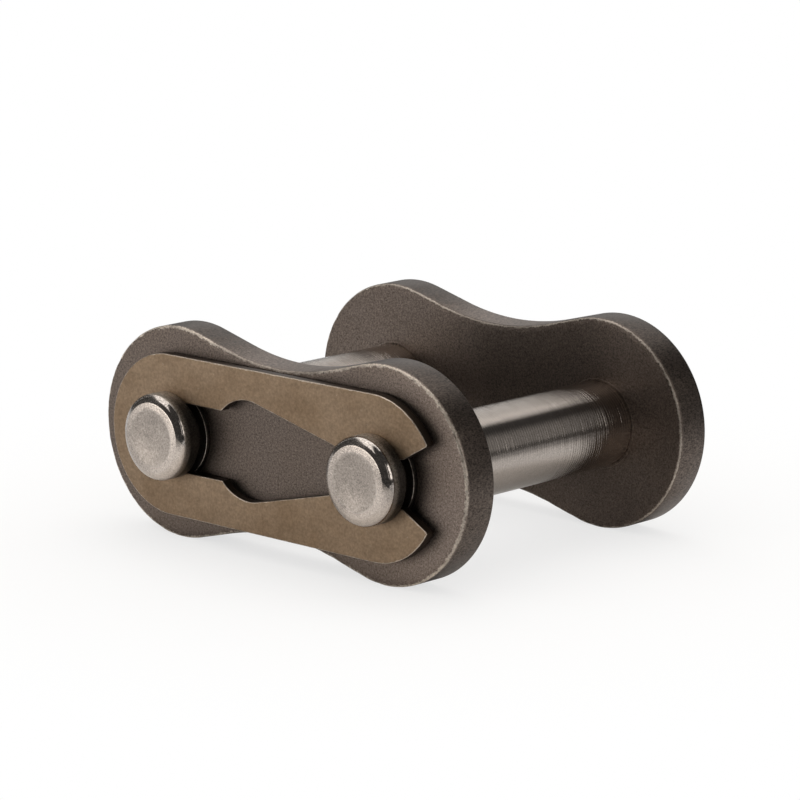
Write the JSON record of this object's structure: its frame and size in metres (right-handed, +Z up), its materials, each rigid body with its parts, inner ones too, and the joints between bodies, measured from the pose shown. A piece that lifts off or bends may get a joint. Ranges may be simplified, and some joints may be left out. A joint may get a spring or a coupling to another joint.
{
  "type": "roller chain connecting link",
  "caption": "Roller chain connecting link: waisted plate with riveted pins, a slip-on cover plate and a flat spring clip gripped in the pin grooves.",
  "frame": {"origin": "middle of the bounding box in X and Y, at the base where the plates' lower lobes stand on the floor", "axes": "+X along the chain, from the clip's closed end to its mouth; +Y along the pins, from the loose plate and clip to the riveted plate; +Z up"},
  "size_m": [0.0336, 0.0274, 0.0145],
  "materials": {
    "plate_steel": "tumbled, heat-browned satin steel with pale worn edges",
    "pin_steel": "ground barrel, frosted end faces with a polished rim",
    "clip_steel": "bronze-tempered matte spring steel"
  },
  "bodies": {
    "pin_link": {"rear_plate": "plate_steel", "left_pin": "pin_steel", "right_pin": "pin_steel"},
    "cover_plate": {"front_plate": "plate_steel"},
    "clip": {"spring_clip": "clip_steel"}
  },
  "joints": [
    {"name": "plate_slide", "type": "slide", "parent": "pin_link", "child": "cover_plate", "axis": [0, 1, 0], "range_m": [-0.0002, 0.0184]},
    {"name": "clip_slide", "type": "slide", "parent": "pin_link", "child": "clip", "axis": [-1, 0, 0], "range_m": [0, 0.00758], "deforming": ["spring_clip"]}
  ]
}
